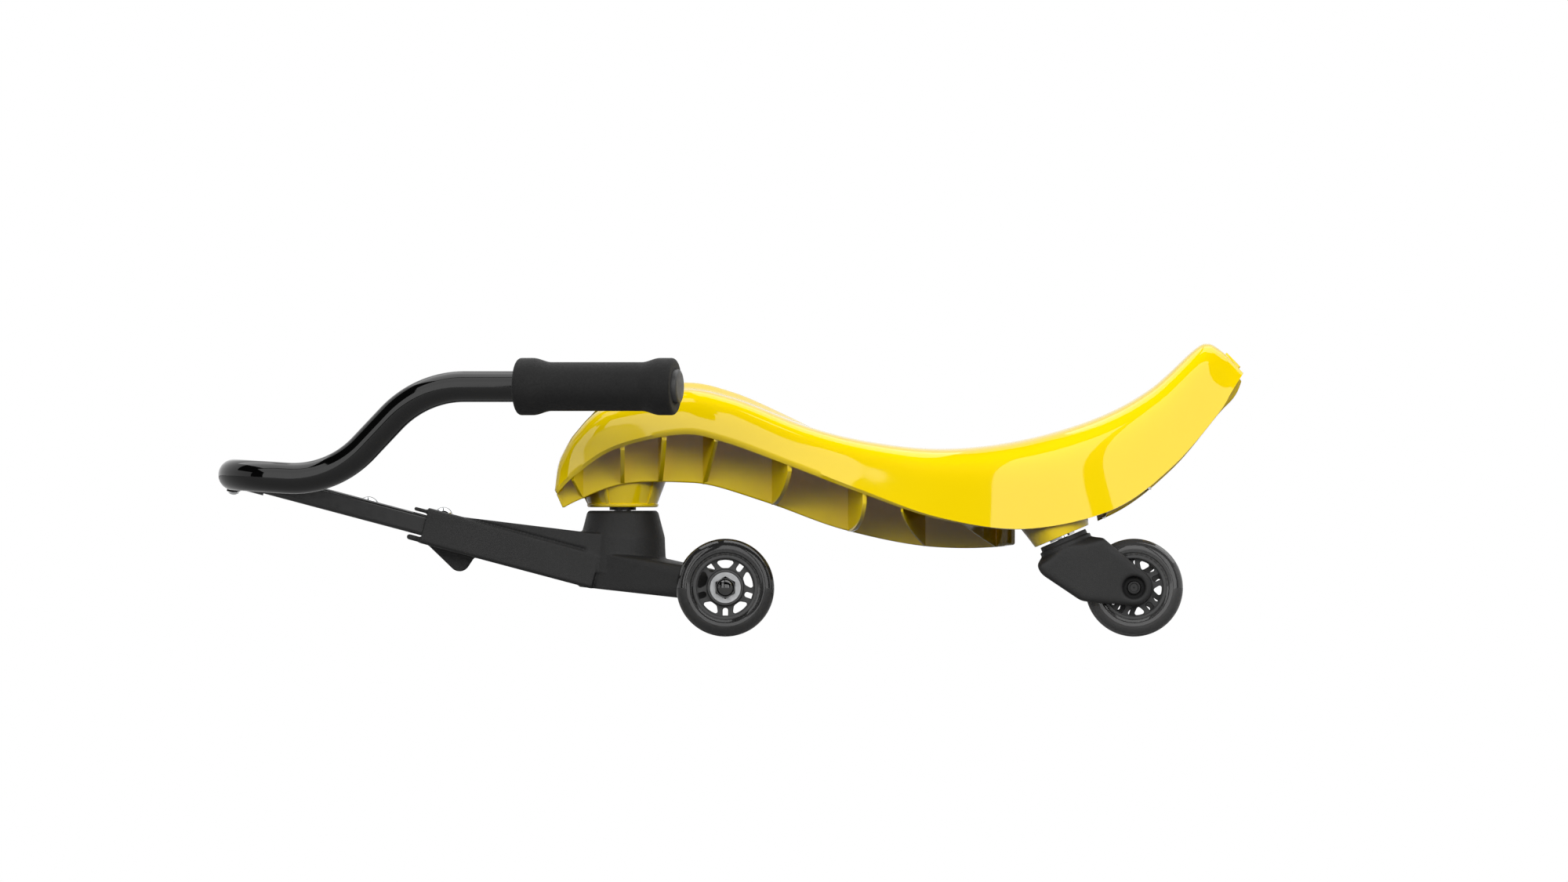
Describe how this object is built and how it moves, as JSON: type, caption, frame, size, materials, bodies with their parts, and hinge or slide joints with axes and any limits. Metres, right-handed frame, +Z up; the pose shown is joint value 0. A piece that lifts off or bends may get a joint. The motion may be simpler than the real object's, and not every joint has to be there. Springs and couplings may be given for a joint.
{
  "type": "wiggle ride-on toy",
  "caption": "Low ride-on with a ribbed banana-shaped seat on inclined swivel casters, a pivoting front frame with wheels, and a handlebar on a clamped sliding bar.",
  "frame": {"origin": "floor level, in the middle of the plan outline", "axes": "+X to the rear, +Y to the rider's right, +Z up"},
  "size_m": [0.7323, 0.3694, 0.2094],
  "materials": {
    "seat": "glossy yellow moulding",
    "frame": "fine-grained black moulding",
    "tube": "gloss black coating",
    "grip": "soft matte dark grey",
    "tyre": "glossy smoke grey polyurethane",
    "hub": "matte black moulding",
    "bearing": "ground steel rings",
    "steel": "zinc-plated steel",
    "bright": "bright chrome",
    "insert": "plain brass"
  },
  "bodies": {
    "seat": {"seat_shell": "seat", "pivot_insert": "insert", "kingpin": "steel", "pivot_spacer": "frame", "pivot_washer": "steel", "caster_inserts": "insert", "caster_bolts": "steel", "caster_washers": "bright"},
    "front_frame": {"front_frame": "frame", "pivot_bushes": "steel", "front_axle": "steel", "axle_nuts": "bright", "axle_washers": "steel", "clamp_bolt": "bright", "clamp_nut": "steel"},
    "handlebar": {"extension_bar": "tube", "bar_glide": "frame", "stop_screw": "bright", "saddle": "tube", "saddle_bolts": "bright", "handlebar": "tube", "grip_left": "grip", "grip_right": "grip", "grip_plug_left": "frame", "grip_plug_right": "frame"},
    "front_wheel_left": {"front_tyre_left": "tyre", "front_hub_left": "hub", "front_bearings_left": "bearing", "front_spacer_left": "steel"},
    "front_wheel_right": {"front_tyre_right": "tyre", "front_hub_right": "hub", "front_bearings_right": "bearing", "front_spacer_right": "steel"},
    "caster_left": {"fork_left": "frame", "fork_bearings_left": "bearing", "rear_sleeves_left": "steel", "rear_bolt_left": "steel", "rear_nut_left": "steel"},
    "caster_right": {"fork_right": "frame", "fork_bearings_right": "bearing", "rear_sleeves_right": "steel", "rear_bolt_right": "steel", "rear_nut_right": "steel"},
    "rear_wheel_left": {"rear_tyre_left": "tyre", "rear_hub_left": "hub", "rear_bearings_left": "bearing"},
    "rear_wheel_right": {"rear_tyre_right": "tyre", "rear_hub_right": "hub", "rear_bearings_right": "bearing"}
  },
  "joints": [
    {"name": "steer", "type": "hinge", "parent": "seat", "child": "front_frame", "pos_m": [-0.0771, 0, 0.09], "axis": [0, 0, 1], "range_deg": [-40, 40]},
    {"name": "handlebar_extend", "type": "slide", "parent": "front_frame", "child": "handlebar", "axis": [-0.9664, 0, 0.2571], "range_m": [-0.024, 0.04]},
    {"name": "front_wheel_left_spin", "type": "hinge", "parent": "front_frame", "child": "front_wheel_left", "pos_m": [-0.0038, -0.092, 0.035], "axis": [0, 1, 0], "continuous": true},
    {"name": "front_wheel_right_spin", "type": "hinge", "parent": "front_frame", "child": "front_wheel_right", "pos_m": [-0.0038, 0.092, 0.035], "axis": [0, 1, 0], "continuous": true},
    {"name": "caster_left_swivel", "type": "hinge", "parent": "seat", "child": "caster_left", "pos_m": [0.23662, -0.07, 0.07181], "axis": [-0.3907, 0, 0.9205], "continuous": true},
    {"name": "caster_right_swivel", "type": "hinge", "parent": "seat", "child": "caster_right", "pos_m": [0.23662, 0.07, 0.07181], "axis": [-0.3907, 0, 0.9205], "continuous": true},
    {"name": "rear_wheel_left_spin", "type": "hinge", "parent": "caster_left", "child": "rear_wheel_left", "pos_m": [0.2881, -0.07, 0.035], "axis": [0, 1, 0], "continuous": true},
    {"name": "rear_wheel_right_spin", "type": "hinge", "parent": "caster_right", "child": "rear_wheel_right", "pos_m": [0.2881, 0.07, 0.035], "axis": [0, 1, 0], "continuous": true}
  ]
}
